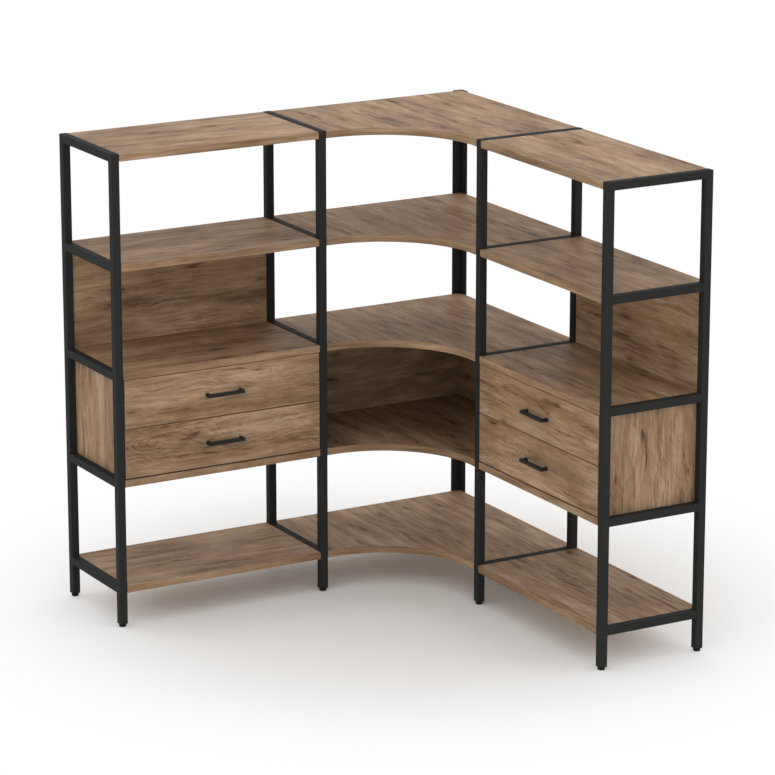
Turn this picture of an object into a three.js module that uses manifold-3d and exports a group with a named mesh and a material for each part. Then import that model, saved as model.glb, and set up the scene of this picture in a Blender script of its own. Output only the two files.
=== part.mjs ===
// Corner shelf unit in black square steel tube and oak board, with four drawers.
// Millimetres, +Z up. The origin is on the floor, under the middle of the outline's box.
import * as THREE from 'three';
import { mergeVertices } from 'three/addons/utils/BufferGeometryUtils.js';
import Module from 'manifold-3d';

const wasm = await Module();
wasm.setup();

// Driving sizes of the whole unit
const footprint = 1400; // rear corner planes to the outer face of each end frame
const frameDepth = 360; // front face to rear face of each wing
const cornerSide = 687.5; // rear corner planes to the corner side of each inner frame
const bottomLevel = 130; // floor to the top of the lowest rails
const levelPitch = 330; // one rail top to the next
const levelNames = ['bottom', 'lower', 'middle', 'upper', 'top'];
const seat = 0.3; // gap kept between two pieces that rest on each other
const overrun = 1; // how far a cutting or joining solid runs past a face

// Square steel tube of the ladder frames
const tube = 25;
const tubeWall = 1.5;
const tubeCornerRadius = 2;
const tubeCornerSteps = 2;
const ventRadius = 4; // drain hole from each rail into its posts
const ventSides = 6;

// Steel angle at the rear corner, outside the corner shelves
const angleWidth = 35;
const angleThickness = 4;

// Glides in the posts' lower ends
const footHeight = 10;
const footRadius = 11;
const footEdgeRadius = 3;
const footFlange = 2;
const footPlugLength = 20;
const footSides = 16;
const footEdgeSteps = 2;
const cornerStemRadius = 4;
const cornerStemLength = 18;

// Oak board
const shelfThickness = 22;
const shelfReveal = 1.5; // shelf top below the rails' tops
const panelThickness = 18;
const boardEase = 1.2; // eased long edges
const boardEaseSteps = 1;
const cornerStraight = 21; // straight front edge of a corner shelf beside each frame
const cornerArcSteps = 24;

// Drawer fronts and cabinets, between the lower and the middle shelf
const frontSideGap = 2.5;
const frontBottomGap = 4;
const frontMiddleGap = 2.5;
const frontTopGap = 1.5;
const boxBottomMargin = 12; // drawer box above its front's lower edge
const boxTopMargin = 28; // drawer box below its front's upper edge
const boxRearRoom = 23.7; // drawer box to the cabinet back
const boxWall = 16;
const boxFloor = 8;
const boxSideGap = 1;
const grooveDepth = 9;
const runnerHeight = 17;
const runnerSetback = 6; // runner's front end behind the drawer front
const runnerRearRoom = 22; // runner's rear end to the cabinet back

// Bar handles
const handleLength = 121;
const handleBar = 10;
const handleReach = 25; // drawer front to the bar's outer face
const handleEase = 0.6;
const handleRise = { lower: 74.5, upper: 71.5 }; // above the drawer front's lower edge

// Sizes that follow
const clearSpan = footprint - cornerSide - 2 * tube; // between a wing's two frames
const wingLength = footprint - cornerSide;
const unitHeight = bottomLevel + (levelNames.length - 1) * levelPitch;
const postBottom = footHeight + footFlange + seat;
const railTop = (level) => bottomLevel + levelNames.indexOf(level) * levelPitch;
const shelfTop = (level) => railTop(level) - shelfReveal;
const shelfBottom = (level) => shelfTop(level) - shelfThickness;
const frontOpening = shelfBottom('middle') - shelfTop('lower');
const frontHeight = (frontOpening - frontBottomGap - frontMiddleGap - frontTopGap) / 2;
const frontBottom = {
  lower: shelfTop('lower') + frontBottomGap,
  upper: shelfTop('lower') + frontBottomGap + frontHeight + frontMiddleGap,
};
const firstSideFace = tube + seat + panelThickness; // inner face of a cabinet's first side
const secondSideFace = wingLength - firstSideFace;
const cabinetDepth = frameDepth - 2 * panelThickness; // drawer front to cabinet back
const boxDepth = cabinetDepth - seat - boxRearRoom;
const runnerLength = cabinetDepth - runnerSetback - runnerRearRoom;
const centreShift = (footprint - angleThickness) / 2;

// Finishes
function finish(color, roughness, metalness) {
  return new THREE.MeshStandardMaterial({ color, roughness, metalness });
}
const powderCoat = finish('#2e2d2c', 0.5, 0.2);
const oakBoard = finish('#9c7f60', 0.6, 0);
const drawerBoard = finish('#b39a78', 0.7, 0);
const handleBlack = finish('#262524', 0.4, 0.3);
const footPlastic = finish('#161616', 0.6, 0);
const runnerSteel = finish('#a9abad', 0.35, 0.9);

// Turns a closed three.js geometry into a solid that can be joined or cut
function toSolid(geometry) {
  const bare = geometry.clone();
  bare.deleteAttribute('normal');
  bare.deleteAttribute('uv');
  const merged = mergeVertices(bare);
  return new wasm.Manifold(new wasm.Mesh({
    numProp: 3,
    vertProperties: Float32Array.from(merged.attributes.position.array),
    triVerts: Uint32Array.from(merged.index.array),
  }));
}

// Turns a joined or cut solid back into a geometry
function toGeometry(solid) {
  const mesh = solid.getMesh();
  const geometry = new THREE.BufferGeometry();
  geometry.setAttribute('position', new THREE.BufferAttribute(mesh.vertProperties, 3));
  geometry.setIndex(new THREE.BufferAttribute(mesh.triVerts, 1));
  geometry.computeVertexNormals();
  return geometry;
}

// Box between two corners
function block(low, high) {
  const size = high.map((value, axis) => value - low[axis]);
  const middle = high.map((value, axis) => (value + low[axis]) / 2);
  return new THREE.BoxGeometry(...size).translate(...middle);
}

// Turns an extrusion along Z so that it runs along another axis, by swapping axes in order
function turnTo(geometry, axis) {
  const x = new THREE.Vector3(1, 0, 0);
  const y = new THREE.Vector3(0, 1, 0);
  const z = new THREE.Vector3(0, 0, 1);
  const bases = { x: [y, z, x], y: [z, x, y], z: [x, y, z] };
  return geometry.applyMatrix4(new THREE.Matrix4().makeBasis(...bases[axis]));
}

// Board between two corners, with eased edges round its two large faces
function board(low, high, thin) {
  const order = { x: [1, 2, 0], y: [2, 0, 1], z: [0, 1, 2] }[thin];
  const [a, b, c] = order;
  const outline = new THREE.Shape([
    new THREE.Vector2(low[a], low[b]),
    new THREE.Vector2(high[a], low[b]),
    new THREE.Vector2(high[a], high[b]),
    new THREE.Vector2(low[a], high[b]),
  ]);
  const solid = easedExtrusion(outline, low[c], high[c], boardEase);
  return turnTo(solid, thin);
}

// Extrusion from one height to another, with eased edges that stay inside the outline
function easedExtrusion(outline, from, to, ease) {
  return new THREE.ExtrudeGeometry(outline, {
    depth: to - from - 2 * ease,
    bevelEnabled: true,
    bevelSize: ease,
    bevelOffset: -ease,
    bevelThickness: ease,
    bevelSegments: boardEaseSteps,
    curveSegments: cornerArcSteps,
  }).translate(0, 0, from + ease);
}

// Outline of the square tube, with its rounded corners, round its own centre
function tubeOutline() {
  const flat = tube / 2 - tubeCornerRadius;
  const outline = new THREE.Shape();
  const corners = [[flat, flat], [-flat, flat], [-flat, -flat], [flat, -flat]];
  corners.forEach(([x, y], turn) => {
    const start = turn * Math.PI / 2;
    outline.absarc(x, y, tubeCornerRadius, start, start + Math.PI / 2, false);
  });
  outline.closePath();
  return outline;
}

// Length of tube along one axis, from one place on it to another
function tubeLength(axis, from, to) {
  const length = new THREE.ExtrudeGeometry(tubeOutline(), {
    depth: to - from,
    bevelEnabled: false,
    curveSegments: tubeCornerSteps,
  }).translate(0, 0, from);
  return turnTo(length, axis);
}

// Ladder frame: two hollow posts and five hollow rails, welded, with drain holes between them.
// Its front post's outer corner stands at x = 0, y = 0.
function ladderFrame() {
  const middle = tube / 2;
  const postPlaces = [middle, frameDepth - middle];
  const bore = middle - tubeWall;
  let steel = null;
  const bores = [];
  for (const place of postPlaces) {
    const post = toSolid(tubeLength('z', postBottom, unitHeight).translate(middle, place, 0));
    steel = steel ? steel.add(post) : post;
    bores.push(block(
      [middle - bore, place - bore, postBottom - overrun],
      [middle + bore, place + bore, unitHeight - tubeWall],
    ));
  }
  for (const level of levelNames) {
    const height = railTop(level) - middle;
    const rail = tubeLength('y', middle, frameDepth - middle).translate(middle, 0, height);
    steel = steel.add(toSolid(rail));
    bores.push(block(
      [middle - bore, tube, height - bore],
      [middle + bore, frameDepth - tube, height + bore],
    ));
    for (const wallPlace of [tube - tubeWall / 2, frameDepth - tube + tubeWall / 2]) {
      const vent = new THREE.CylinderGeometry(ventRadius, ventRadius, tubeWall + 2 * overrun, ventSides);
      bores.push(vent.translate(middle, wallPlace, height));
    }
  }
  for (const hollow of bores) {
    steel = steel.subtract(toSolid(hollow));
  }
  return toGeometry(steel);
}

// Round glide, with its lower edge rounded, standing on the floor at its own centre
function glideDisc(top) {
  const profile = [new THREE.Vector2(0, 0)];
  for (let step = 0; step <= footEdgeSteps; step += 1) {
    const turn = (step / footEdgeSteps) * (Math.PI / 2);
    profile.push(new THREE.Vector2(
      footRadius - footEdgeRadius + footEdgeRadius * Math.sin(turn),
      footEdgeRadius - footEdgeRadius * Math.cos(turn),
    ));
  }
  profile.push(new THREE.Vector2(footRadius, top));
  profile.push(new THREE.Vector2(0, top));
  return toSolid(new THREE.LatheGeometry(profile, footSides).rotateX(Math.PI / 2));
}

// Glide of a tube post: disc, flange under the tube's end and plug inside its bore
function postFoot() {
  const plug = tube / 2 - tubeWall - seat;
  const flangeTop = footHeight + footFlange;
  const flange = block([-tube / 2, -tube / 2, footHeight], [tube / 2, tube / 2, flangeTop]);
  const stem = block([-plug, -plug, footHeight], [plug, plug, flangeTop + footPlugLength]);
  const foot = glideDisc(footHeight + footFlange / 2).add(toSolid(flange)).add(toSolid(stem));
  return toGeometry(foot);
}

// Rear corner angle, its inner faces on the rear planes, with a drilled plate for its foot
const angleFlange = angleWidth - angleThickness; // visible inner width of each side
const cornerFootPlace = -angleFlange / 2;
function rearCornerAngle() {
  const outline = new THREE.Shape([
    new THREE.Vector2(angleThickness, angleThickness),
    new THREE.Vector2(-angleFlange, angleThickness),
    new THREE.Vector2(-angleFlange, 0),
    new THREE.Vector2(0, 0),
    new THREE.Vector2(0, -angleFlange),
    new THREE.Vector2(angleThickness, -angleFlange),
  ]);
  const low = footHeight + seat;
  const sides = new THREE.ExtrudeGeometry(outline, { depth: unitHeight - low, bevelEnabled: false });
  const plate = block(
    [-angleFlange, -angleFlange, low],
    [angleThickness / 2, angleThickness / 2, low + angleThickness],
  );
  const hole = new THREE.CylinderGeometry(
    cornerStemRadius + seat,
    cornerStemRadius + seat,
    angleThickness + 2 * overrun,
    footSides,
  ).rotateX(Math.PI / 2).translate(cornerFootPlace, cornerFootPlace, low + angleThickness / 2);
  const angle = toSolid(sides.translate(0, 0, low)).add(toSolid(plate)).subtract(toSolid(hole));
  return toGeometry(angle);
}

// Foot of the corner angle: the same disc on a round stem through the plate
function cornerFoot() {
  const stem = new THREE.CylinderGeometry(
    cornerStemRadius,
    cornerStemRadius,
    cornerStemLength,
    footSides,
  ).rotateX(Math.PI / 2).translate(0, 0, footHeight - overrun + cornerStemLength / 2);
  return toGeometry(glideDisc(footHeight).add(toSolid(stem)));
}

// Corner shelf: square at the rear, with a hollow quarter-round front between two short straights
function cornerShelf() {
  const side = -(cornerSide - seat);
  const arcStart = -(cornerSide - cornerStraight);
  const arcRadius = cornerSide - cornerStraight - frameDepth;
  const outline = new THREE.Shape();
  outline.moveTo(-seat, -seat);
  outline.lineTo(side, -seat);
  outline.lineTo(side, -frameDepth);
  outline.lineTo(arcStart, -frameDepth);
  outline.absarc(arcStart, arcStart, arcRadius, Math.PI / 2, 0, true);
  outline.lineTo(-frameDepth, side);
  outline.lineTo(-seat, side);
  outline.closePath();
  return easedExtrusion(outline, 0, shelfThickness, boardEase);
}

// Drawer box: open tray whose sides are grooved for the runners, front outer corner at x = 0, y = 0
const boxHeight = frontHeight - boxBottomMargin - boxTopMargin;
const boxWidth = secondSideFace - firstSideFace - 2 * boxSideGap;
const grooveHeight = runnerHeight + 2 * seat;
function drawerBox() {
  const outside = block([0, 0, 0], [boxWidth, boxDepth, boxHeight]);
  const inside = block(
    [boxWall, boxWall, boxFloor],
    [boxWidth - boxWall, boxDepth - boxWall, boxHeight + overrun],
  );
  let tray = toSolid(outside).subtract(toSolid(inside));
  const grooveLow = (boxHeight - grooveHeight) / 2;
  for (const [from, to] of [[-overrun, grooveDepth], [boxWidth - grooveDepth, boxWidth + overrun]]) {
    const groove = block([from, -overrun, grooveLow], [to, boxDepth + overrun, grooveLow + grooveHeight]);
    tray = tray.subtract(toSolid(groove));
  }
  return toGeometry(tray);
}

// Runner bar, screwed to a cabinet side and riding in a drawer's groove
function runnerBar() {
  const width = boxSideGap + grooveDepth - 2 * seat;
  return block([0, 0, -runnerHeight / 2], [width, runnerLength, runnerHeight / 2]);
}

// Bar handle, bent square with a leg at each end, its legs' feet on the plane y = 0
function barHandle() {
  const end = handleLength / 2;
  const leg = end - handleBar;
  const barBack = -(handleReach - handleBar);
  const outline = new THREE.Shape([
    new THREE.Vector2(-end, -seat),
    new THREE.Vector2(-end, -handleReach),
    new THREE.Vector2(end, -handleReach),
    new THREE.Vector2(end, -seat),
    new THREE.Vector2(leg, -seat),
    new THREE.Vector2(leg, barBack),
    new THREE.Vector2(-leg, barBack),
    new THREE.Vector2(-leg, -seat),
  ]);
  return easedExtrusion(outline, -handleBar / 2, handleBar / 2, handleEase);
}

// Adds one named piece to a group
function addPiece(parent, name, geometry, material, x = 0, y = 0, z = 0) {
  const piece = new THREE.Mesh(geometry, material);
  piece.name = name;
  piece.position.set(x, y, z);
  parent.add(piece);
}

// Frame with its two feet, at one place along a wing
function addFrame(wing, name, x) {
  addPiece(wing, `${name}_frame`, ladderFrame(), powderCoat, x);
  addPiece(wing, `${name}_front_foot`, postFoot(), footPlastic, x + tube / 2, tube / 2);
  addPiece(wing, `${name}_rear_foot`, postFoot(), footPlastic, x + tube / 2, frameDepth - tube / 2);
}

// Shelves of a wing, between its frames
function addWingShelves(wing, side) {
  for (const level of levelNames) {
    const shelf = board([0, 0, 0], [clearSpan - 2 * seat, frameDepth, shelfThickness], 'z');
    addPiece(wing, `${side}_${level}_shelf`, shelf, oakBoard, tube + seat, 0, shelfBottom(level));
  }
}

// Back panel of the open niche over the drawers, flush with the frames' rear
function addNicheBack(wing, side) {
  const height = shelfBottom('upper') - shelfTop('middle') - 2 * seat;
  const panel = board([0, 0, 0], [clearSpan - 2 * seat, panelThickness, height], 'y');
  const rear = frameDepth - panelThickness;
  addPiece(wing, `${side}_niche_back`, panel, oakBoard, tube + seat, rear, shelfTop('middle') + seat);
}

// Cabinet round the drawers: two sides just inside the frames and a back between them
function addCabinet(wing, side, firstName, secondName) {
  const height = frontOpening - 2 * seat;
  const sideStart = panelThickness + 2 * seat;
  const low = shelfTop('lower') + seat;
  const sidePanel = () => board([0, 0, 0], [panelThickness, frameDepth - sideStart, height], 'x');
  addPiece(wing, `${side}_cabinet_${firstName}_side`, sidePanel(), oakBoard, tube + seat, sideStart, low);
  addPiece(wing, `${side}_cabinet_${secondName}_side`, sidePanel(), oakBoard, secondSideFace, sideStart, low);
  const backWidth = secondSideFace - firstSideFace - 2 * seat;
  const back = board([0, 0, 0], [backWidth, panelThickness, height], 'y');
  addPiece(wing, `${side}_cabinet_back`, back, oakBoard, firstSideFace + seat, frameDepth - panelThickness, low);
}

// Drawer: its front, box and handle, and the two runners that carry it
function addDrawer(wing, side, place, firstName, secondName) {
  const name = `${side}_${place}_drawer`;
  const low = frontBottom[place];
  const frontWidth = clearSpan - 2 * frontSideGap;
  const front = board([0, 0, 0], [frontWidth, panelThickness, frontHeight], 'y');
  addPiece(wing, `${name}_front`, front, oakBoard, tube + frontSideGap, 0, low);
  const boxStart = panelThickness + seat;
  const boxLow = low + boxBottomMargin;
  addPiece(wing, `${name}_box`, drawerBox(), drawerBoard, firstSideFace + boxSideGap, boxStart, boxLow);
  addPiece(wing, `${name}_handle`, barHandle(), handleBlack, wingLength / 2, 0, low + handleRise[place]);
  const runnerWidth = boxSideGap + grooveDepth - 2 * seat;
  const runnerPlaces = {
    [firstName]: firstSideFace + seat,
    [secondName]: secondSideFace - seat - runnerWidth,
  };
  for (const [end, x] of Object.entries(runnerPlaces)) {
    const y = panelThickness + runnerSetback;
    addPiece(wing, `${name}_${end}_runner`, runnerBar(), runnerSteel, x, y, boxLow + boxHeight / 2);
  }
}

// Wing: two frames, five shelves, the niche back and the drawer cabinet
function makeWing(side, firstName, secondName) {
  const wing = new THREE.Group();
  addFrame(wing, `${side}_${firstName}`, 0);
  addFrame(wing, `${side}_${secondName}`, wingLength - tube);
  addWingShelves(wing, side);
  addNicheBack(wing, side);
  addCabinet(wing, side, firstName, secondName);
  for (const place of ['upper', 'lower']) {
    addDrawer(wing, side, place, firstName, secondName);
  }
  return wing;
}

// Corner: the rear angle with its foot, five shelves and the two backs of the corner niche
function makeCorner() {
  const corner = new THREE.Group();
  addPiece(corner, 'rear_corner_angle', rearCornerAngle(), powderCoat);
  addPiece(corner, 'rear_corner_foot', cornerFoot(), footPlastic, cornerFootPlace, cornerFootPlace);
  for (const level of levelNames) {
    addPiece(corner, `corner_${level}_shelf`, cornerShelf(), oakBoard, 0, 0, shelfBottom(level));
  }
  const low = shelfTop('lower') + seat;
  const high = shelfBottom('middle') - seat;
  const side = -(cornerSide - seat);
  const face = -(panelThickness + seat);
  const leftBack = board([side, face, low], [-seat, -seat, high], 'y');
  const rightBack = board([face, side, low], [-seat, face - seat, high], 'x');
  addPiece(corner, 'corner_niche_left_back', leftBack, oakBoard);
  addPiece(corner, 'corner_niche_right_back', rightBack, oakBoard);
  return corner;
}

const leftWing = makeWing('left', 'end', 'inner');
leftWing.position.set(-footprint, -frameDepth, 0);

const rightWing = makeWing('right', 'inner', 'end');
rightWing.position.set(-frameDepth, -cornerSide, 0);
rightWing.rotation.z = -Math.PI / 2;

const unit = new THREE.Group();
unit.add(leftWing, rightWing, makeCorner());
unit.position.set(centreShift, centreShift, 0);

const shelfUnit = new THREE.Group();
shelfUnit.add(unit);

export default shelfUnit;
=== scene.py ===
# Corner shelf unit of steel ladder frames and oak boards, in the order in which it is put together
import contextlib
import math
import random

import bmesh
import bpy
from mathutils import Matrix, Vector


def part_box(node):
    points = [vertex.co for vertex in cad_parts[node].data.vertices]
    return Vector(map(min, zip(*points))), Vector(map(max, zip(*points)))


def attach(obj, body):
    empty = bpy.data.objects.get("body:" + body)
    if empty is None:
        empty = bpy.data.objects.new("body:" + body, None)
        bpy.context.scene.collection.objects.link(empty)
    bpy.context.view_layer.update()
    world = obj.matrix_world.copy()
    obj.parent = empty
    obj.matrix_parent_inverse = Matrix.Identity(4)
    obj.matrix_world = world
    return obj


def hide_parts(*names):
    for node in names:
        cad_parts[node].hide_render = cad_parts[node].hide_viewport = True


# All lengths are in metres, and each piece takes its place from the CAD frame
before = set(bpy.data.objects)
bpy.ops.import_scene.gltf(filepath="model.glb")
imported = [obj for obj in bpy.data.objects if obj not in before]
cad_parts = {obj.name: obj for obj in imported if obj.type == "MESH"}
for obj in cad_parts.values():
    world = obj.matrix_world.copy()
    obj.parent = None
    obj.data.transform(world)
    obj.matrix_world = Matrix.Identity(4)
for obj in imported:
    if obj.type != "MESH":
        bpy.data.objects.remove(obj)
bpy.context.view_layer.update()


# Ladder frames: two posts and five rails of 25 mm square steel tube. The tube ends are welded and
# dressed flush at the sides, with small beads left above and below the rails, and the whole frame
# is powder coated in fine-textured satin black.
X, Y, Z = 0, 1, 2
TUBE = 0.025
TUBE_ROUND = 0.002
TUBE_ROUND_STEPS = 4
LOWEST_RAIL_TOP = 0.130
RAIL_PITCH = 0.330
RAIL_COUNT = 5
POST_BORE = 0.022
POST_BORE_DEPTH = 0.030
BEAD_RADIUS = 0.0016
BEAD_LENGTH = 0.0225
BEAD_SIDES = 12
BEAD_RIPPLES = 11
BEAD_WAIST = 0.84
QUARTER_TURN = math.pi / 2
STRAIGHT_SHARE = 0.999
FACING_SHARE = 0.9
SAME_POINT = 0.000004
TOUCH = 0.0001
SOFTEST_EDGE = math.radians(38)
COAT_BLACK = (0.0262, 0.0262, 0.0258, 1)
COAT_BLACK_THIN = (0.0312, 0.0310, 0.0302, 1)
COAT_GLOSS = 0.018
FRAMES = ("left_end", "left_inner", "right_inner", "right_end")


class Wire:
    """What one node gives, written into sums as if it were a number."""

    def __init__(self, finish, output):
        self.finish = finish
        self.output = output

    def __getitem__(self, name):
        return Wire(self.finish, self.output.node.outputs[name])

    def maths(self, operation, first, second):
        """A Math node on two numbers."""
        return self.finish.node("ShaderNodeMath", {"operation": operation}, {0: first, 1: second})

    def __add__(self, other):
        return self.maths("ADD", self, other)

    def __radd__(self, other):
        return self.maths("ADD", other, self)

    def __sub__(self, other):
        return self.maths("SUBTRACT", self, other)

    def __rsub__(self, other):
        return self.maths("SUBTRACT", other, self)

    def __mul__(self, other):
        return self.maths("MULTIPLY", self, other)

    def __rmul__(self, other):
        return self.maths("MULTIPLY", other, self)

    def __truediv__(self, other):
        return self.maths("DIVIDE", self, other)

    def __pow__(self, other):
        return self.maths("POWER", self, other)

    def __abs__(self):
        return self.maths("ABSOLUTE", self, 0.0)

    def clamped(self):
        """The same number kept between 0 and 1."""
        return self.maths("MINIMUM", self.maths("MAXIMUM", self, 0.0), 1.0)


class Finish:
    """A material whose nodes all come from one method."""

    def __init__(self, name):
        self.material = bpy.data.materials.new(name)
        self.material.use_nodes = True
        self.tree = self.material.node_tree
        self.shader = self.tree.nodes["Principled BSDF"]

    def feed(self, socket, value):
        """Links a wire to a socket, or sets a plain value on it."""
        if isinstance(value, Wire):
            self.tree.links.new(value.output, socket)
        else:
            socket.default_value = value

    def node(self, kind, settings=(), sockets=()):
        """A node with its settings made first, then its sockets filled. It gives its first output."""
        made = self.tree.nodes.new(kind)
        for name, value in dict(settings).items():
            if name == "stops":
                ramp = made.color_ramp.elements
                while len(ramp) < len(value):
                    ramp.new(1.0)
                for stop, (place, colour) in zip(ramp, value):
                    stop.position = place
                    stop.color = colour
            else:
                setattr(made, name, value)
        for name, value in dict(sockets).items():
            if isinstance(name, int):
                self.feed(made.inputs[name], value)
            else:
                self.feed(next(s for s in made.inputs if s.enabled and s.name == name), value)
        return Wire(self, next(s for s in made.outputs if s.enabled))

    def surface(self, **values):
        """Fills the shader's own sockets, whose names are written with _ for each space."""
        for name, value in values.items():
            self.feed(self.shader.inputs[name.replace("_", " ")], value)

    def mix(self, share, first, second, way="MIX"):
        settings = {"data_type": "RGBA", "blend_type": way}
        return self.node("ShaderNodeMix", settings, {"Factor": share, "A": first, "B": second})

    def noise(self, place, scale, detail=2.0, roughness=0.5):
        sockets = {"Vector": place, "Scale": scale, "Detail": detail, "Roughness": roughness}
        return self.node("ShaderNodeTexNoise", {}, sockets)

    def place(self):
        """Place on the piece, in metres."""
        return self.node("ShaderNodeTexCoord")["Object"]

    def relief(self, height, strength, distance):
        """Fine bumps for the shader's Normal."""
        sockets = {"Strength": strength, "Distance": distance, "Height": height}
        return self.node("ShaderNodeBump", {}, sockets)


def powder_coat():
    coat = Finish("powder_coat")
    texture = coat.noise(coat.place(), scale=1100.0, roughness=0.6)
    thickness = coat.noise(coat.place(), scale=9.0, detail=3.0)
    coat.surface(
        Base_Color=coat.mix(thickness, COAT_BLACK, COAT_BLACK_THIN),
        Roughness=0.42 + thickness * 0.12 + texture * 0.08,
        Specular_IOR_Level=COAT_GLOSS,
        Normal=coat.relief(texture, strength=0.35, distance=0.00012),
    )
    return coat.material


def alone(piece):
    """Makes a piece the only selected one, and the active one."""
    bpy.ops.object.select_all(action="DESELECT")
    piece.select_set(True)
    bpy.context.view_layer.objects.active = piece


def settle(piece):
    """Puts a piece's place and turn into its mesh, with its object at the origin."""
    alone(piece)
    bpy.ops.object.transform_apply(location=True, rotation=True, scale=True)
    return piece


def bar_between(low, high):
    """New cube, stretched between two corners."""
    bpy.ops.object.select_all(action="DESELECT")
    low, high = Vector(low), Vector(high)
    bpy.ops.mesh.primitive_cube_add(size=1, location=(low + high) / 2, scale=high - low)
    return settle(bpy.context.object)


def rod_along(axis, middle, radius, length, sides):
    """New cylinder with its length along one axis."""
    bpy.ops.object.select_all(action="DESELECT")
    turn = ((0, QUARTER_TURN, 0), (QUARTER_TURN, 0, 0), (0, 0, 0))[axis]
    bpy.ops.mesh.primitive_cylinder_add(
        vertices=sides, radius=radius, depth=length, location=middle, rotation=turn
    )
    return settle(bpy.context.object)


@contextlib.contextmanager
def editing(piece):
    """Edit mode on one piece, with everything in it selected."""
    alone(piece)
    bpy.ops.object.mode_set(mode="EDIT")
    bpy.ops.mesh.select_all(action="SELECT")
    yield
    bpy.ops.object.mode_set(mode="OBJECT")


def choose(piece, kind, test):
    """In edit mode, selects only the verts, edges or faces that pass a test."""
    modes = ("verts", "edges", "faces")
    bpy.context.tool_settings.mesh_select_mode = [kind == mode for mode in modes]
    shape = bmesh.from_edit_mesh(piece.data)
    for part in (*shape.verts, *shape.edges, *shape.faces):
        part.select = False
    for part in getattr(shape, kind):
        if test(part):
            part.select_set(True)
    bmesh.update_edit_mesh(piece.data)


def runs_along(edge, axis):
    way = edge.verts[1].co - edge.verts[0].co
    return abs(way[axis]) > STRAIGHT_SHARE * way.length


def looks_along(face, axis, way):
    """True on a face that looks up an axis, with way 1, or down it, with way -1."""
    return face.normal[axis] * way > FACING_SHARE


def round_edges(piece, radius, steps, test=lambda edge: True):
    """Rounds the edges that pass a test, or all of them."""
    with editing(piece):
        choose(piece, "edges", test)
        bpy.ops.mesh.bevel(offset=radius, segments=steps, profile=0.5, affect="EDGES")


def draw_out(reach):
    """In edit mode, extrudes the selected faces."""
    bpy.ops.mesh.extrude_region_move(TRANSFORM_OT_translate={"value": reach})


def copy_of(piece, move, turn=0.0, about=(0, 0, 0)):
    """Copy with its own mesh, turned about an upright axis and then moved."""
    alone(piece)
    bpy.ops.object.duplicate()
    copy = bpy.context.object
    if turn:
        bpy.ops.transform.rotate(value=turn, orient_axis="Z", center_override=about)
    bpy.ops.transform.translate(value=move)
    return settle(copy)


def middle_of(node):
    low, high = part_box(node)
    return (low + high) / 2


def turned_copy(piece, from_node, to_node):
    """Copy of a left wing's piece at another node, turned with the wing if that is the right one."""
    turn = QUARTER_TURN if to_node.startswith("right") else 0.0
    return copy_of(piece, middle_of(to_node) - middle_of(from_node), turn, middle_of(from_node))


def joined(*parts):
    """Several loose parts as one object."""
    alone(parts[0])
    for part in parts:
        part.select_set(True)
    bpy.ops.object.join()
    return bpy.context.object


def combine(piece, operation, other):
    """Welds another part into a piece or cuts it out, and closes up what the cut leaves double."""
    alone(piece)
    bpy.ops.object.modifier_add(type="BOOLEAN")
    cut = piece.modifiers[-1]
    cut.operation = operation
    cut.solver = "EXACT"
    cut.use_self = True
    cut.object = other
    bpy.ops.object.modifier_apply(modifier=cut.name)
    bpy.data.objects.remove(other)
    with editing(piece):
        bpy.ops.mesh.remove_doubles(threshold=SAME_POINT)
        bpy.ops.mesh.dissolve_degenerate(threshold=SAME_POINT)


def dress(piece, name, finish, body, node=None):
    """Shades, names and finishes a piece that is in place, and lets it ride on its body.

    Its faces are cut into even triangles here, so that none of them is left without area.
    """
    alone(piece)
    bpy.ops.object.shade_smooth_by_angle(angle=SOFTEST_EDGE)
    bpy.ops.object.modifier_add(type="WEIGHTED_NORMAL")
    piece.modifiers[-1].keep_sharp = True
    bpy.ops.object.modifier_apply(modifier=piece.modifiers[-1].name)
    with editing(piece):
        bpy.ops.mesh.quads_convert_to_tris(quad_method="BEAUTY", ngon_method="BEAUTY")
    piece.name = name
    piece.data.name = name
    piece.data.materials.clear()
    piece.data.materials.append(finish)
    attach(piece, body)
    if node:
        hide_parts(node)


def weld_bead():
    """Short bead lying along X, with the ripples of the welder's pauses."""
    bead = rod_along(X, (0, 0, 0), BEAD_RADIUS, BEAD_LENGTH, BEAD_SIDES)
    with editing(bead):
        choose(bead, "edges", lambda edge: runs_along(edge, X))
        bpy.ops.mesh.subdivide(number_cuts=2 * BEAD_RIPPLES - 1)
        for ripple in range(BEAD_RIPPLES):
            x = BEAD_LENGTH * ((ripple + 0.5) / BEAD_RIPPLES - 0.5)
            choose(bead, "verts", lambda vert: abs(vert.co.x - x) < TOUCH)
            waist = (1, BEAD_WAIST, BEAD_WAIST)
            bpy.ops.transform.resize(value=waist, center_override=(x, 0, 0))
    return bead


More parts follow.
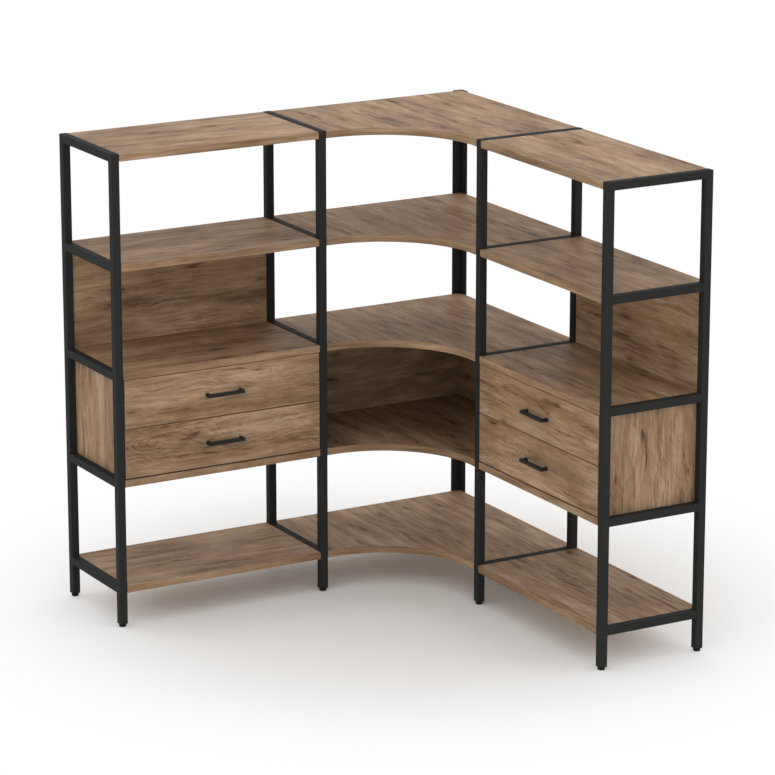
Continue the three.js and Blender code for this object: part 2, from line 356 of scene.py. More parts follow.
def ladder_frame(node):
    """Welded frame with its depth along Y, in the place of one CAD frame."""
    low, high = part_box(node)
    steel = None
    for front in (low.y, high.y - TUBE):
        inner_face = front + TUBE if front == low.y else front
        post = bar_between((low.x, front, low.z), (high.x, front + TUBE, high.z))

        def is_rounded(edge):
            middle = (edge.verts[0].co + edge.verts[1].co) / 2
            on_top = middle.z > high.z - TUBE_ROUND and abs(middle.y - inner_face) > TUBE_ROUND
            return runs_along(edge, Z) or on_top

        round_edges(post, TUBE_ROUND, TUBE_ROUND_STEPS, is_rounded)
        with editing(post):
            choose(post, "faces", lambda face: looks_along(face, Z, -1))
            bpy.ops.mesh.inset(thickness=(TUBE - POST_BORE) / 2)
            draw_out((0, 0, POST_BORE_DEPTH))
        steel = joined(steel, post) if steel else post
    bead = weld_bead()
    rails = []
    for step in range(RAIL_COUNT):
        top = LOWEST_RAIL_TOP + step * RAIL_PITCH
        start, end = low.y + TUBE / 2, high.y - TUBE / 2
        rail = bar_between((low.x, start, top - TUBE), (high.x, end, top))
        round_edges(rail, TUBE_ROUND, TUBE_ROUND_STEPS, lambda edge: runs_along(edge, Y))
        rails.append(rail)
        for post_face in (low.y + TUBE, high.y - TUBE):
            for height in (top - TUBE, top):
                # The top rail ends level with the posts and has no bead above it
                if height < high.z - TUBE_ROUND:
                    rails.append(copy_of(bead, ((low.x + high.x) / 2, post_face, height)))
    bpy.data.objects.remove(bead)
    combine(steel, "UNION", joined(*rails))
    return steel


black_coat = powder_coat()
first_frame = ladder_frame("left_end_frame")
for name in FRAMES:
    node = f"{name}_frame"
    steel = turned_copy(first_frame, "left_end_frame", node)
    dress(steel, f"{name}_welded_frame", black_coat, "root", node)
bpy.data.objects.remove(first_frame)


# Glides: black plastic inserts in the posts' lower ends, each moulded in one piece with a square
# plug, a thin flange under the tube and a round disc with a rounded lower edge and a groove.
DISC_RADIUS = 0.011
DISC_HEIGHT = 0.010
DISC_ROUND = 0.003
DISC_ROUND_STEPS = 5
DISC_SIDES = 48
DISC_GROOVE = (0.0062, 0.0070, 0.0078)
DISC_GROOVE_WAIST = 0.955
FLANGE_TOP = 0.012
PLUG_HALF = 0.0103
PLUG_ROUND = 0.0012
FINE_STEPS = 2
OVERLAP = 0.0005
PLASTIC_BLACK = (0.011, 0.011, 0.011, 1)
PLASTIC_GLOSS = 0.12


def moulded_plastic():
    plastic = Finish("moulded_plastic")
    grain = plastic.noise(plastic.place(), scale=1600.0, detail=1.0)
    scuffs = plastic.noise(plastic.place(), scale=60.0, detail=4.0, roughness=0.7)
    plastic.surface(
        Base_Color=PLASTIC_BLACK,
        Roughness=0.5 + scuffs * 0.2,
        Specular_IOR_Level=PLASTIC_GLOSS,
        Normal=plastic.relief(grain, strength=0.2, distance=0.0001),
    )
    return plastic.material


def slice_at(axis, places):
    """In edit mode, cuts new edges round the piece at each place along an axis."""
    across = Vector((0, 0, 0))
    across[axis] = 1
    for place in places:
        bpy.ops.mesh.select_all(action="SELECT")
        bpy.ops.mesh.bisect(plane_co=across * place, plane_no=across)


def glide_disc(x, y, top):
    """Round foot on the floor, its lower edge rounded and a shallow groove round its side."""
    disc = rod_along(Z, (x, y, top / 2), DISC_RADIUS, top, DISC_SIDES)

    def on_floor(edge):
        return all(vert.co.z < TOUCH for vert in edge.verts)

    round_edges(disc, DISC_ROUND, DISC_ROUND_STEPS, on_floor)
    with editing(disc):
        slice_at(Z, DISC_GROOVE)
        waist = DISC_GROOVE[1]
        choose(disc, "verts", lambda vert: abs(vert.co.z - waist) < TOUCH)
        bpy.ops.transform.resize(
            value=(DISC_GROOVE_WAIST, DISC_GROOVE_WAIST, 1), center_override=(x, y, waist)
        )
    return disc


def post_glide(node):
    """Disc, flange and plug in one, in the place of one CAD glide."""
    low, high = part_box(node)
    x, y = (low.x + high.x) / 2, (low.y + high.y) / 2
    disc = glide_disc(x, y, DISC_HEIGHT + OVERLAP)
    flange = bar_between((low.x, low.y, DISC_HEIGHT), (high.x, high.y, FLANGE_TOP))
    round_edges(flange, TUBE_ROUND, TUBE_ROUND_STEPS, lambda edge: runs_along(edge, Z))
    plug = bar_between(
        (x - PLUG_HALF, y - PLUG_HALF, FLANGE_TOP - OVERLAP),
        (x + PLUG_HALF, y + PLUG_HALF, high.z),
    )
    round_edges(plug, PLUG_ROUND, FINE_STEPS)
    combine(disc, "UNION", joined(flange, plug))
    return disc


black_plastic = moulded_plastic()
first_glide = post_glide("left_end_front_foot")
for name in FRAMES:
    for end in ("front", "rear"):
        node = f"{name}_{end}_foot"
        glide = copy_of(first_glide, middle_of(node) - middle_of("left_end_front_foot"))
        dress(glide, f"{name}_{end}_glide", black_plastic, "root", node)
bpy.data.objects.remove(first_glide)


# Rear corner angle: 35 by 35 by 4 mm steel angle, outside the corner shelves, with a small plate
# welded into its lower end for its foot. Two countersunk screws at each shelf hold it.
ANGLE_THICK = 0.004
ANGLE_PLATE_LOW = 0.0103
ANGLE_EDGE_ROUND = 0.0012
ROUND_STEPS = 3
NEAR = 0.001
SCREW_HEAD = 0.0042
SCREW_CORE = 0.0019
SCREW_DEPTH = 0.0024
SCREW_SUNK = 0.0002
SCREW_SIDES = 32
SINK_ROOM = 0.0003
CROSS_LONG = 0.0044
CROSS_WIDE = 0.0009
CROSS_DEEP = 0.0016
LEVELS = ("bottom", "lower", "middle", "upper", "top")


def draw_arms(block, low, corner):
    """Draws a corner block out into two arms, which reach down X and down Y to the low corner."""
    with editing(block):
        for axis in (X, Y):
            reach = Vector((0, 0, 0))
            reach[axis] = low[axis] - corner[axis]

            def is_block_side(face):
                over_block = face.calc_center_median()[1 - axis] > corner[1 - axis]
                return looks_along(face, axis, -1) and over_block

            choose(block, "faces", is_block_side)
            draw_out(reach)


def is_inner_edge(edge, corner):
    """True on the upright edge where two arms meet on their inside."""
    return runs_along(edge, Z) and (edge.verts[0].co.xy - Vector(corner).xy).length < NEAR


def cone_at(axis, face, wide, narrow, depth):
    """New cone frustum whose wide end lies on a face and which narrows down an axis, X or Y."""
    bpy.ops.object.select_all(action="DESELECT")
    middle = Vector(face)
    middle[axis] -= depth / 2
    bpy.ops.mesh.primitive_cone_add(
        vertices=SCREW_SIDES,
        radius1=wide,
        radius2=narrow,
        depth=depth,
        location=middle,
        rotation=((0, -QUARTER_TURN, 0), (QUARTER_TURN, 0, 0))[axis],
    )
    return settle(bpy.context.object)


def screw_places(low, high, corner):
    """Each screw's axis, and its middle on one of the angle's two outer faces."""
    for level in LEVELS:
        height = middle_of(f"corner_{level}_shelf").z
        yield Y, ((low.x + corner.x) / 2, high.y, height)
        yield X, (high.x, (low.y + corner.y) / 2, height)


def cut_cross(head, axis, middle, length, width, depth):
    """Cuts a cross recess for the driver into the face of a screw's head."""
    arms = []
    for along in (other for other in (X, Y, Z) if other != axis):
        half = Vector((width, width, width)) / 2
        half[along] = length / 2
        half[axis] = depth
        arms.append(bar_between(middle - half, middle + half))
    combine(head, "DIFFERENCE", joined(*arms))


def cross_screw(axis, face):
    """Countersunk screw head, sunk a little below a face."""
    seat = Vector(face)
    seat[axis] -= SCREW_SUNK
    head = cone_at(axis, seat, SCREW_HEAD - SCREW_SUNK, SCREW_CORE, SCREW_DEPTH)
    cut_cross(head, axis, seat, CROSS_LONG, CROSS_WIDE, CROSS_DEEP)
    return head


angle_low, angle_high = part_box("rear_corner_angle")
angle_corner = Vector((angle_high.x - ANGLE_THICK, angle_high.y - ANGLE_THICK, angle_low.z))
angle = bar_between(angle_corner, angle_high)
draw_arms(angle, angle_low, angle_corner)
round_edges(
    angle,
    ANGLE_EDGE_ROUND,
    ROUND_STEPS,
    lambda edge: runs_along(edge, Z) and not is_inner_edge(edge, angle_corner),
)
plate = bar_between(
    (angle_low.x, angle_low.y, ANGLE_PLATE_LOW),
    (angle_high.x - ANGLE_THICK / 2, angle_high.y - ANGLE_THICK / 2, ANGLE_PLATE_LOW + ANGLE_THICK),
)
combine(angle, "UNION", plate)
sinks = []
screws = []
for axis, face in screw_places(angle_low, angle_high, angle_corner):
    above = Vector(face)
    above[axis] += SINK_ROOM
    depth = SCREW_DEPTH + SINK_ROOM
    sinks.append(cone_at(axis, above, SCREW_HEAD + SINK_ROOM, SCREW_CORE, depth))
    screws.append(cross_screw(axis, face))
combine(angle, "DIFFERENCE", joined(*sinks))
dress(angle, "rear_corner_steel_angle", black_coat, "root", "rear_corner_angle")

foot_middle = middle_of("rear_corner_foot")
corner_glide = glide_disc(foot_middle.x, foot_middle.y, DISC_HEIGHT)
dress(corner_glide, "rear_corner_glide", black_plastic, "root", "rear_corner_foot")


# Screws and foot stem: blackened steel, turned and rolled. The stem carries a hexagon nut on top of
# the angle's plate.
STEM_RADIUS = 0.004
STEM_ROUND = 0.0006
STEM_SIDES = 24
NUT_RADIUS = 0.0065
NUT_HEIGHT = 0.0045
NUT_ROUND = 0.0004
NUT_SIDES = 6
STEEL_DARK = (0.012, 0.012, 0.012, 1)
STEEL_WORN = (0.05, 0.05, 0.05, 1)


def blackened_steel():
    steel = Finish("blackened_steel")
    wear = steel.noise(steel.place(), scale=320.0, detail=3.0, roughness=0.6)
    steel.surface(
        Base_Color=steel.mix(wear, STEEL_DARK, STEEL_WORN),
        Metallic=0.7,
        Roughness=0.34 + wear * 0.2,
    )
    return steel.material


black_steel = blackened_steel()
dress(joined(*screws), "rear_corner_screws", black_steel, "root")
stem_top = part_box("rear_corner_foot")[1].z
stem_middle = (foot_middle.x, foot_middle.y, (DISC_HEIGHT + stem_top) / 2)
stem = rod_along(Z, stem_middle, STEM_RADIUS, stem_top - DISC_HEIGHT, STEM_SIDES)
round_edges(stem, STEM_ROUND, FINE_STEPS, lambda edge: not runs_along(edge, Z))
nut_low = ANGLE_PLATE_LOW + ANGLE_THICK
nut_middle = (foot_middle.x, foot_middle.y, nut_low + NUT_HEIGHT / 2)
nut = rod_along(Z, nut_middle, NUT_RADIUS, NUT_HEIGHT, NUT_SIDES)
round_edges(nut, NUT_ROUND, FINE_STEPS)
combine(stem, "UNION", nut)
dress(stem, "rear_corner_stem", black_steel, "root", "rear_corner_foot")


# Wing shelves, niche backs and cabinet boards: 22 and 18 mm chipboard laminated in brown oak, with
# the same oak in the edging that is glued round it and eased. The boards lie between the frames'
# rails, and each is cut from its own place in the sheet.
BOARD_EASE = 0.0012
OAK_TONES = (
    (0.059, 0.035, 0.021, 1),
    (0.144, 0.087, 0.049, 1),
    (0.273, 0.172, 0.097, 1),
    (0.364, 0.241, 0.143, 1),
    (0.495, 0.350, 0.229, 1),
)
TONE_SHARES = (0.0, 0.23, 0.48, 0.66, 0.88)
OAK_GREY = (0.97, 0.985, 1.02, 1)
OAK_RED = (1.035, 0.985, 0.95, 1)
OAK_TINT = 1.0
OAK_GLOSS = 0.08
RING_WIDTH = 0.0085
KNOT_CELLS = (4.2, 9.5)
KNOT_CHANCE = 0.55
KNOT_SCATTER = 0.55
EDGING_FROM = 100.0
EDGING_SHEET = EDGING_FROM + 1.0
UNDERSIDE_SHEET = 1.9
SHEETS = 40
SHEET_START = 1.0
LOG_HEART = 0.1
FACE_SHARE = 0.99
WOOD_SEED = 11


def laminated_oak(name, tones, tint):
    """Oak print whose figure follows each board's own grain. The tones run from cracks to pale."""
    oak = Finish(name)
    grain = oak.node("ShaderNodeAttribute", {"attribute_name": "grain"})["Vector"]
    parts = oak.node("ShaderNodeSeparateXYZ", {}, {"Vector": grain})
    along, across, board = parts["X"], parts["Y"], parts["Z"]

    # The edging is a plainer print than the faces
    calm = ((board - EDGING_FROM) * 10.0).clamped()

    def spread(length, width, third):
        return oak.node("ShaderNodeCombineXYZ", {}, {"X": length, "Y": width, "Z": third})

    def streaks(length, width, shift, detail=2.0, roughness=0.5):
        """Noise in spots of 1 m over each given number, centred on 0."""
        place = spread(along * length, across * width, board + shift)
        return oak.noise(place, 1.0, detail, roughness) - 0.5

    # Small knots lie in about half of the cells of a net, each with a spindle of dark heart and a
    # wider shadow, and turn the grain aside
    cells = spread(along * KNOT_CELLS[0] + board * 5.3, across * KNOT_CELLS[1] + board * 2.9, 0.0)
    sockets = {"Vector": cells, "Scale": 1.0, "Randomness": KNOT_SCATTER}
    net = oak.node("ShaderNodeTexVoronoi", {"voronoi_dimensions": "2D"}, sockets)
    lot = oak.node("ShaderNodeSeparateColor", {}, {"Color": net["Color"]})
    knotted = ((lot - (1.0 - KNOT_CHANCE)) * 40.0).clamped() * (1.0 - calm)
    size = 0.45 + lot["Green"] * 0.75
    sockets = {0: cells, 1: net["Position"]}
    gap = oak.node("ShaderNodeVectorMath", {"operation": "SUBTRACT"}, sockets)
    gap = oak.node("ShaderNodeSeparateXYZ", {}, {"Vector": gap})
    far = gap["X"] / (size * KNOT_CELLS[0])
    aside = gap["Y"] / (size * KNOT_CELLS[1]) + streaks(22.0, 60.0, 17.9) * 0.011

    def spindle(length, width):
        return (1.0 - (far / length) ** 2.0 - (aside / width) ** 2.0).clamped() * knotted

    heart = spindle(0.024, 0.0042)
    shadow = spindle(0.044, 0.018)

    # Rings of a log that the cut crosses at a slant, so that they run long and meet in arches, and
    # that curl where the grain is wild
    sway = streaks(2.2, 5.0, 0.0) * 0.055 + streaks(10.0, 26.0, 11.3) * 0.012
    bent = across + sway * (1.0 - calm * 0.9) + shadow * 0.006
    depth = streaks(1.6, 0.0, 23.1, 1.0) * 0.30 + 0.02
    wild = (streaks(2.6, 6.5, 31.7) * 5.0 + 0.15).clamped() * (1.0 - calm)
    curl = streaks(10.0, 19.0, 41.9, 1.0) * wild * 6.5
    reach = (bent * bent + depth * depth) ** 0.5 / RING_WIDTH + curl + shadow * 1.6
    ring = oak.node("ShaderNodeMath", {"operation": "FRACT"}, {0: reach})
    late_wood = ring ** 3.0

    def bent_streaks(length, width, shift, detail, roughness=0.5):
        """Streaks that follow the grain where it bends."""
        place = spread(along * length, bent * width, board + shift)
        return oak.noise(place, 1.0, detail, roughness) - 0.5

    # Bands, streaks, fibres and pores of plain wood, combed more strongly in some places than in
    # others, with cracks along a few veins and ripples across the grain where it is wild
    bands = streaks(2.6, 10.0, 3.7)
    broad = streaks(2.6, 32.0, 7.3, 3.0, 0.6)
    blotches = streaks(8.0, 26.0, 53.3, 3.0, 0.6) * (1.0 - calm * 0.8)
    narrow = bent_streaks(9.0, 100.0, 47.1, 2.0, 0.6)
    fibres = bent_streaks(17.0, 560.0, 61.9, 2.0, 0.7)
    combed = (streaks(3.1, 8.0, 67.7) * 3.4 + 0.5).clamped()
    pores = ((bent_streaks(110.0, 1900.0, 37.7, 0.0) - 0.06) * 7.0).clamped()
    veins = abs(bent_streaks(1.8, 25.0, 71.3, 1.0))
    split = (streaks(5.5, 15.0, 83.9) * 12.0 - 0.95).clamped() * (1.0 - calm)
    crack = (1.0 - veins * 34.0).clamped() * split
    rim = (1.0 - veins * 9.0).clamped() * split
    slanted = spread(along * 62.0 + bent * 95.0, bent * 30.0 - along * 9.0, board + 91.7)
    ripples = (oak.noise(slanted, 1.0, 2.0) - 0.5) * wild

    tone = 0.61 + bands * 0.62 + broad * 0.68 + blotches * 0.58
    tone = tone + (narrow * 0.56 + fibres * 0.42) * (0.42 + combed * 1.1)
    tone = tone - late_wood * (0.06 + wild * 0.14) - shadow * 0.15 - heart * 0.28
    tone = tone - crack * 0.30 - rim * 0.05 + ripples * 0.40 - pores * 0.09 - calm * 0.06
    stops = list(zip(TONE_SHARES, tones))
    colour = oak.node("ShaderNodeValToRGB", {"stops": stops}, {"Fac": tone})
    warmth = (streaks(2.1, 9.0, 97.3) * 2.6 + 0.5).clamped()
    height = fibres * 0.5 + narrow * 0.3 - crack - heart * 0.4 - pores * 0.3
    oak.surface(
        Base_Color=oak.mix(tint, colour, oak.mix(warmth, OAK_GREY, OAK_RED), "MULTIPLY"),
        Roughness=0.52 - fibres * 0.25 + crack * 0.2,
        Specular_IOR_Level=OAK_GLOSS,
        Normal=oak.relief(height, strength=0.25, distance=0.0004),
    )
    return oak.material


wood = random.Random(WOOD_SEED)
brown_oak = laminated_oak("laminated_oak", OAK_TONES, OAK_TINT)


def lay_grain(piece, along, bent_run=None):
    """Writes, for every corner of every face, its place along and across the grain and its board.

    Where the edging is bent, bent_run gives the length along it in place of the straight one.
    """
    low = Vector(min(v.co[axis] for v in piece.data.vertices) for axis in range(3))
    high = Vector(max(v.co[axis] for v in piece.data.vertices) for axis in range(3))
    spans = high - low
    thin = min(range(3), key=lambda axis: spans[axis])
    across = X + Y + Z - along - thin
    start = wood.uniform(-SHEET_START, SHEET_START)
    heart = wood.uniform(-LOG_HEART, LOG_HEART)
    number = wood.uniform(0, SHEETS)
    grain = piece.data.attributes.new("grain", "FLOAT_VECTOR", "CORNER")
    for face in piece.data.polygons:
        on_edge = abs(face.normal[thin]) < FACE_SHARE
        if on_edge:
            run = along if abs(face.normal[across]) > abs(face.normal[along]) else across
            cross = thin
            sheet = number + EDGING_SHEET
        else:
            run = along
            cross = across
            sheet = number + (0 if face.normal[thin] > 0 else UNDERSIDE_SHEET)
        for corner in face.loop_indices:
            place = piece.data.vertices[piece.data.loops[corner].vertex_index].co
            length = place[run] - low[run]
            width = place[cross] - (low[cross] + high[cross]) / 2
            if on_edge and bent_run:
                length = bent_run(face, place, length)
            grain.data[corner].vector = (length + start, width + heart, sheet)


def oak_board(node, name, along, body="root"):
    """Board in the place of a CAD board, its edging eased and its grain along one axis."""
    board = bar_between(*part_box(node))
    round_edges(board, BOARD_EASE, ROUND_STEPS)
    lay_grain(board, along)
    dress(board, name, brown_oak, body, node)


for side, along in (("left", X), ("right", Y)):
    for level in LEVELS:
        oak_board(f"{side}_{level}_shelf", f"{side}_{level}_shelf_board", along)
    oak_board(f"{side}_niche_back", f"{side}_niche_back_board", along)
    oak_board(f"{side}_cabinet_back", f"{side}_cabinet_back_board", along)
    for end in ("end", "inner"):
        oak_board(f"{side}_cabinet_{end}_side", f"{side}_cabinet_{end}_side_board", Z)
oak_board("corner_niche_left_back", "corner_niche_left_back_board", X)
oak_board("corner_niche_right_back", "corner_niche_right_back_board", Y)


# Corner shelves: the same 22 mm board, sawn as a square with its front hollowed to a quarter round
# between two short straights, and edged all along the curve.
CORNER_ARC_RADIUS = 0.3065
CORNER_ARC_STEPS = 48
REAR_SHARE = 0.01
FLAT = math.radians(1)


def corner_board(node):
    """Corner block drawn out into two arms, its inner edge rounded to the full front curve."""
    low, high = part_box(node)
    corner = Vector((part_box("right_inner_frame")[0].x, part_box("left_inner_frame")[0].y, low.z))
    board = bar_between(corner, high)
    draw_arms(board, low, corner)
    with editing(board):
        bpy.ops.mesh.dissolve_limited(angle_limit=FLAT)
    round_edges(
        board, CORNER_ARC_RADIUS, CORNER_ARC_STEPS, lambda edge: is_inner_edge(edge, corner)
    )
    round_edges(board, BOARD_EASE, ROUND_STEPS, lambda edge: not runs_along(edge, Z))
    arc = corner - Vector((CORNER_ARC_RADIUS, CORNER_ARC_RADIUS, 0))

    def along_front(face, place, straight):
        """Length along the hollow front, and the straight one on the shelf's other edges."""
        at_end = min(face.center.x - low.x, face.center.y - low.y) <= BOARD_EASE
        if at_end or max(face.normal.x, face.normal.y) >= REAR_SHARE:
            return straight
        if place.y < arc.y:
            return place.y - arc.y
        if place.x < arc.x:
            return CORNER_ARC_RADIUS * QUARTER_TURN + arc.x - place.x
        return CORNER_ARC_RADIUS * math.atan2(place.y - arc.y, place.x - arc.x)

    lay_grain(board, Y, along_front)
    return board


for level in LEVELS:
    node = f"corner_{level}_shelf"
    dress(corner_board(node), f"{node}_board", brown_oak, "root", node)


# Drawer boxes: light laminated board, two sides grooved along their outer faces, two walls between
# them and a floor, glued at their joints.
BOX_WALL = 0.016
BOX_FLOOR = 0.008
BOX_JOINT = 0.00015
BOX_EASE = 0.0005
GROOVE_DEPTH = 0.009
GROOVE_HEIGHT = 0.0176
CUT_ROOM = 0.01
LIGHT_TONES = (
    (0.30, 0.22, 0.14, 1),
    (0.40, 0.30, 0.20, 1),
    (0.49, 0.39, 0.28, 1),
    (0.56, 0.46, 0.34, 1),
    (0.62, 0.52, 0.40, 1),
)
LIGHT_TINT = 0.5
DRAWERS = ("left_upper_drawer", "left_lower_drawer", "right_upper_drawer", "right_lower_drawer")
light_board = laminated_oak("light_laminated_board", LIGHT_TONES, LIGHT_TINT)


def box_board(low, high, along, groove=None):
    """One board of a drawer box between two corners, with a groove between two others cut out."""
    board = bar_between(low, high)
    if groove:
        combine(board, "DIFFERENCE", bar_between(*groove))
    round_edges(board, BOX_EASE, FINE_STEPS)
    lay_grain(board, along)
    return board


def drawer_box(node):
    """Tray of five boards, its sides grooved along their outer faces, with its front down Y."""
    low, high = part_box(node)
    middle = (low.z + high.z) / 2
    groove_low = middle - GROOVE_HEIGHT / 2
    groove_high = middle + GROOVE_HEIGHT / 2
    boards = []
    for left, right, face, out in (
        (low.x, low.x + BOX_WALL, low.x, -1),
        (high.x - BOX_WALL, high.x, high.x, 1),
    ):
        groove = sorted((face - out * GROOVE_DEPTH, face + out * CUT_ROOM))
        cut_low = (groove[0], low.y - CUT_ROOM, groove_low)
        cut_high = (groove[1], high.y + CUT_ROOM, groove_high)
        side_low = (left, low.y, low.z)
        boards.append(box_board(side_low, (right, high.y, high.z), Y, (cut_low, cut_high)))
    left = low.x + BOX_WALL + BOX_JOINT
    right = high.x - BOX_WALL - BOX_JOINT
    for y in (low.y, high.y - BOX_WALL):
        boards.append(box_board((left, y, low.z), (right, y + BOX_WALL, high.z), X))
    front = low.y + BOX_WALL + BOX_JOINT
    rear = high.y - BOX_WALL - BOX_JOINT
    boards.append(box_board((left, front, low.z), (right, rear, low.z + BOX_FLOOR), X))
    return joined(*boards)


first_box = drawer_box(f"{DRAWERS[0]}_box")
for drawer in DRAWERS:
    node = f"{drawer}_box"
    box = turned_copy(first_box, f"{DRAWERS[0]}_box", node)
    dress(box, f"{drawer}_box_boards", light_board, drawer, node)
bpy.data.objects.remove(first_box)


# Runners: bright zinc-plated channels screwed to the cabinet sides, each holding a strip that is
# fixed in the drawer's groove and slides out with it.
CHANNEL_LIP = 0.0014
CHANNEL_WEB = 0.0014
CHANNEL_ROUND = 0.0003
STRIP_THICK = 0.0046
STRIP_HEIGHT = 0.0116
STRIP_END_ROOM = 0.003
STRIP_ROUND = 0.0008
STRIP_REACH = 0.0097
RUNNER_SCREW_RADIUS = 0.0034
RUNNER_SCREW_HEIGHT = 0.0016
RUNNER_SCREW_SIDES = 20
RUNNER_SCREW_SHARES = (0.12, 0.82)
ZINC = (0.55, 0.56, 0.57, 1)
ZINC_DULL = (0.40, 0.41, 0.42, 1)


def zinc_plate():
    zinc = Finish("zinc_plate")
    sockets = {"Vector": zinc.place(), "Scale": (220.0, 220.0, 900.0)}
    lines = zinc.noise(zinc.node("ShaderNodeMapping", {}, sockets), scale=1.0)
    clouds = zinc.noise(zinc.place(), scale=40.0, detail=3.0)
    zinc.surface(
        Base_Color=zinc.mix(clouds, ZINC_DULL, ZINC),
        Metallic=0.9,
        Roughness=0.26 + clouds * 0.18,
        Normal=zinc.relief(lines, strength=0.1, distance=0.0001),
    )
    return zinc.material


def runner_channel(node, opens):
    """Channel along Y whose open side faces up X, with opens 1, or down it, with two screws."""
    low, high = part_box(node)
    web = low.x if opens > 0 else high.x - CHANNEL_WEB
    channel = bar_between((web, low.y, low.z), (web + CHANNEL_WEB, high.y, high.z))
    with editing(channel):
        slice_at(Z, (low.z + CHANNEL_LIP, high.z - CHANNEL_LIP))

        def is_lip(face):
            height = face.calc_center_median().z
            on_web = low.z + CHANNEL_LIP < height < high.z - CHANNEL_LIP
            return looks_along(face, X, opens) and not on_web

        choose(channel, "faces", is_lip)
        draw_out((opens * (high.x - low.x - CHANNEL_WEB), 0, 0))
    round_edges(channel, CHANNEL_ROUND, FINE_STEPS, lambda edge: runs_along(edge, Y))
    heads = []
    for share in RUNNER_SCREW_SHARES:
        x = web + (CHANNEL_WEB if opens > 0 else 0)
        place = (x, low.y + share * (high.y - low.y), (low.z + high.z) / 2)
        head = rod_along(X, place, RUNNER_SCREW_RADIUS, RUNNER_SCREW_HEIGHT, RUNNER_SCREW_SIDES)
        heads.append(head)
    combine(channel, "UNION", joined(*heads))
    return channel


def runner_strip(node, opens):
    """Strip between a channel's lips, which ends at the floor of the drawer's groove."""
    low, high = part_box(node)
    outer = low.x + STRIP_REACH if opens > 0 else high.x - STRIP_REACH
    left, right = sorted((outer, outer - opens * STRIP_THICK))
    middle = (low.z + high.z) / 2
    strip = bar_between(
        (left, low.y + STRIP_END_ROOM, middle - STRIP_HEIGHT / 2),
        (right, high.y - STRIP_END_ROOM, middle + STRIP_HEIGHT / 2),
    )
    round_edges(strip, STRIP_ROUND, FINE_STEPS, lambda edge: runs_along(edge, Y))
    return strip


zinc = zinc_plate()
for end, far_end, opens in (("end", "inner", 1), ("inner", "end", -1)):
    first_node = f"{DRAWERS[0]}_{end}_runner"
    channel = runner_channel(first_node, opens)
    strip = runner_strip(first_node, opens)
    for drawer in DRAWERS:
        # Turned with the right wing, a runner comes to the drawer's other side
        node = f"{drawer}_{end if drawer.startswith('left') else far_end}_runner"
        fixed = turned_copy(channel, first_node, node)
        dress(fixed, f"{node}_channel", zinc, "root", node)
        sliding = turned_copy(strip, first_node, node)
        dress(sliding, f"{node}_strip", zinc, drawer)
    bpy.data.objects.remove(channel)
    bpy.data.objects.remove(strip)


# Drawer fronts: 18 mm oak board, edged all round, held by two screws from inside the box. Two more
# go through to the handle. Their zinc-plated pan heads show inside the box's front wall.
PAN_RADIUS = 0.0042
PAN_HEIGHT = 0.0024
PAN_ROUND = 0.0011
PAN_SIDES = 24
PAN_CROSS_LONG = 0.0046
PAN_CROSS_WIDE = 0.0010
PAN_CROSS_DEEP = 0.0012
FRONT_SCREW_SHARES = (0.14, 0.86)
HANDLE_SCREW_SHARES = (0.041, 0.959)


def pan_screw(place):
    """Pan head standing out up Y from a wall's inner face."""
    middle = Vector(place) + Vector((0, PAN_HEIGHT / 2, 0))
    head = rod_along(Y, middle, PAN_RADIUS, PAN_HEIGHT, PAN_SIDES)
    top = place[1] + PAN_HEIGHT

    def on_top(edge):
        return all(abs(vert.co.y - top) < TOUCH for vert in edge.verts)

    round_edges(head, PAN_ROUND, ROUND_STEPS, on_top)
    seat = Vector((place[0], top, place[2]))
    cut_cross(head, Y, seat, PAN_CROSS_LONG, PAN_CROSS_WIDE, PAN_CROSS_DEEP)
    return head


for drawer in DRAWERS:
    along = X if drawer.startswith("left") else Y
    oak_board(f"{drawer}_front", f"{drawer}_front_board", along, drawer)

wall_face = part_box(f"{DRAWERS[0]}_box")[0].y + BOX_WALL
heads = []
for held, shares in (("box", FRONT_SCREW_SHARES), ("handle", HANDLE_SCREW_SHARES)):
    low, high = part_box(f"{DRAWERS[0]}_{held}")
    for share in shares:
        x = low.x + share * (high.x - low.x)
        heads.append(pan_screw((x, wall_face, (low.z + high.z) / 2)))
first_heads = joined(*heads)
for drawer in DRAWERS:
    copies = turned_copy(first_heads, f"{DRAWERS[0]}_box", f"{drawer}_box")
    dress(copies, f"{drawer}_screws", zinc, drawer)
bpy.data.objects.remove(first_heads)


# Handles: 10 mm square steel bar, bent square at both ends and painted satin black. Each is held by
# two screws that come through the drawer's front from behind.
HANDLE_BAR = 0.010
HANDLE_ROUND = 0.0008
HANDLE_BLACK = (0.0170, 0.0170, 0.0180, 1)
HANDLE_WORN = (0.026, 0.026, 0.026, 1)
HANDLE_GLOSS = 0.1


def painted_steel():
    paint = Finish("painted_steel")
    peel = paint.noise(paint.place(), scale=700.0)
    rubbed = paint.noise(paint.place(), scale=45.0, detail=3.0, roughness=0.6)
    paint.surface(
        Base_Color=paint.mix(rubbed, HANDLE_BLACK, HANDLE_WORN),
        Roughness=0.36 + rubbed * 0.14,
        Specular_IOR_Level=HANDLE_GLOSS,
        Normal=paint.relief(peel, strength=0.15, distance=0.0001),
    )
    return paint.material


def bar_handle(node):
    """Bar of the left wing's handle, its legs drawn back from its ends to the drawer front."""
    low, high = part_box(node)
    handle = bar_between(low, (high.x, low.y + HANDLE_BAR, high.z))
    with editing(handle):
        slice_at(X, (low.x + HANDLE_BAR, high.x - HANDLE_BAR))

        def is_leg(face):
            x = face.calc_center_median().x
            between_legs = low.x + HANDLE_BAR < x < high.x - HANDLE_BAR
            return looks_along(face, Y, 1) and not between_legs

        choose(handle, "faces", is_leg)
        draw_out((0, high.y - low.y - HANDLE_BAR, 0))
        bpy.ops.mesh.select_all(action="SELECT")
        bpy.ops.mesh.dissolve_limited(angle_limit=FLAT)
    round_edges(handle, HANDLE_ROUND, ROUND_STEPS)
    return handle


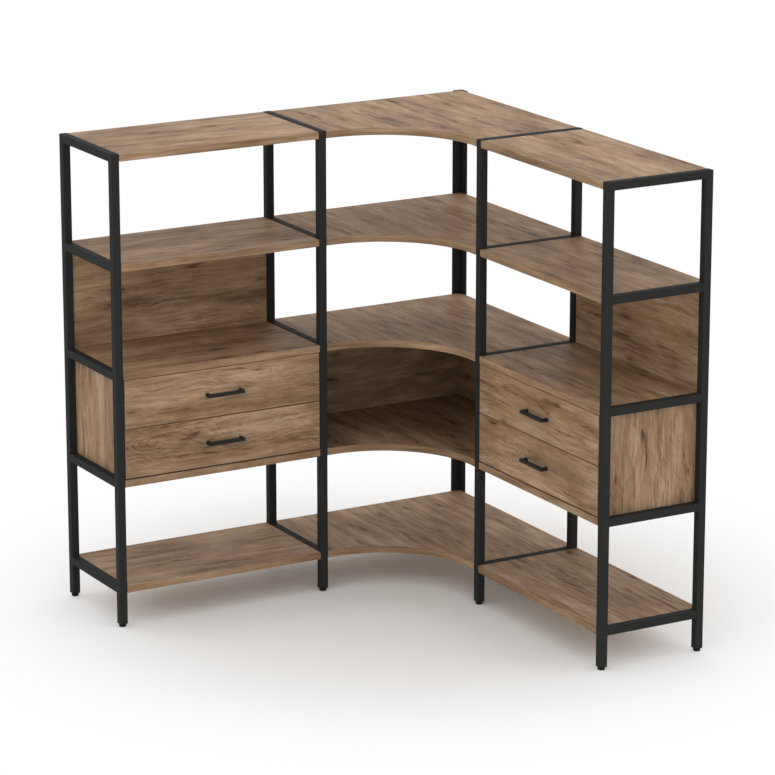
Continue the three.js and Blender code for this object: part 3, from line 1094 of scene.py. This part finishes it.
handle_paint = painted_steel()
first_handle = bar_handle(f"{DRAWERS[0]}_handle")
for drawer in DRAWERS:
    node = f"{drawer}_handle"
    handle = turned_copy(first_handle, f"{DRAWERS[0]}_handle", node)
    dress(handle, f"{drawer}_bar_handle", handle_paint, drawer, node)
bpy.data.objects.remove(first_handle)


# Studio: a plain pale floor that fades to white, a white surround, one broad soft lamp overhead and
# a camera where the photograph was taken from.
FLOOR_SIZE = 120.0
FLOOR_COLOUR = (0.98, 0.968, 0.955, 1)
FADE_MIDDLE = (0.2, 0.2, 0.0)
FADE_FROM = 0.65
FADE_OVER = 0.95
LAMP_PLACE = (0.3, 0.5, 4.5)
LAMP_AIM = (0, 0, 0.6)
LAMP_SIZE = 3.2
LAMP_POWER = 8.0
CAMERA_PLACE = (-5.281, -9.278, 3.665)
CAMERA_YAW = 29.78
CAMERA_PITCH = 15.35
CAMERA_LENS = 173.27
CAMERA_SENSOR = 36.0


def seen_directly(finish):
    """1 where a ray comes from the camera, a reflection or glass, and 0 for light on surfaces."""
    path = finish.node("ShaderNodeLightPath")
    return (path["Is Camera Ray"] + path["Is Glossy Ray"] + path["Is Transmission Ray"]).clamped()


def pale_floor():
    pale = Finish("pale_floor")
    sockets = {0: pale.place(), 1: FADE_MIDDLE}
    reach = pale.node("ShaderNodeVectorMath", {"operation": "DISTANCE"}, sockets)["Value"]
    away = ((reach - FADE_FROM) / FADE_OVER).clamped()
    smooth = away * away * (3.0 - 2.0 * away)
    white = pale.node("ShaderNodeEmission")
    pale.surface(Base_Color=FLOOR_COLOUR, Roughness=0.9)
    share = smooth * seen_directly(pale)
    blend = pale.node("ShaderNodeMixShader", {}, {0: share, 2: white})
    pale.tree.links.new(pale.shader.outputs["BSDF"], blend.output.node.inputs[1])
    pale.tree.links.new(blend.output, pale.tree.nodes["Material Output"].inputs["Surface"])
    return pale.material


bpy.ops.object.select_all(action="DESELECT")
bpy.ops.mesh.primitive_plane_add(size=FLOOR_SIZE, location=(0, 0, 0))
floor = bpy.context.object
floor.name = "floor"
floor.data.materials.append(pale_floor())

surround = bpy.data.worlds.new("surround")
surround.use_nodes = True
surround.node_tree.nodes["Background"].inputs["Color"].default_value = (1, 1, 1, 1)
bpy.context.scene.world = surround

bpy.ops.object.light_add(type="AREA", location=LAMP_PLACE)
lamp = bpy.context.object
lamp.name = "overhead_lamp"
lamp.data.energy = LAMP_POWER
lamp.data.size = LAMP_SIZE
lamp_way = Vector(LAMP_AIM) - Vector(LAMP_PLACE)
lamp.rotation_euler = lamp_way.to_track_quat("-Z", "Y").to_euler()

bpy.ops.object.camera_add(
    location=CAMERA_PLACE,
    rotation=(math.radians(90 - CAMERA_PITCH), 0, math.radians(-CAMERA_YAW)),
)
camera = bpy.context.object
camera.data.sensor_width = CAMERA_SENSOR
camera.data.lens = CAMERA_LENS
bpy.context.scene.camera = camera
bpy.context.scene.view_settings.view_transform = "Standard"
